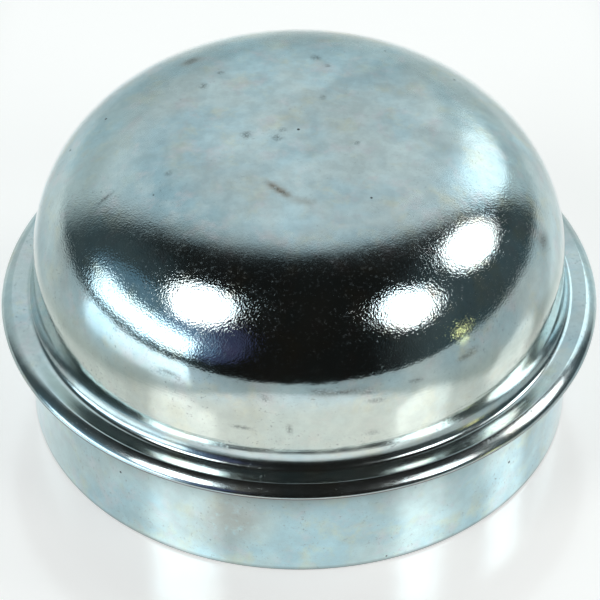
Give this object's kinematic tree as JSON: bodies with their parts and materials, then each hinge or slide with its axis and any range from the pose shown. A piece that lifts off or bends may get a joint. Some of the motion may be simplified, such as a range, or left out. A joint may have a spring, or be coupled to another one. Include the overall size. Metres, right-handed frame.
{
  "type": "hub grease cap",
  "caption": "One-piece pressed steel cap: a domed cup with rounded shoulder, folded two-ply flange and straight press skirt that closes a wheel hub's bore.",
  "frame": {"origin": "centre of the open rim, on the plane that the rim stands on", "axes": "+Z along the cap's axis from the open rim towards the crown; X and Y are free, because the cap is a body of revolution"},
  "size_m": [0.0554, 0.0554, 0.0309],
  "materials": {
    "zinc_plate": "bright zinc plate over pressed steel, glossy on the shoulder and flange, satin on the crown's top"
  },
  "bodies": {
    "root": {"grease_cap": "zinc_plate"}
  },
  "joints": []
}
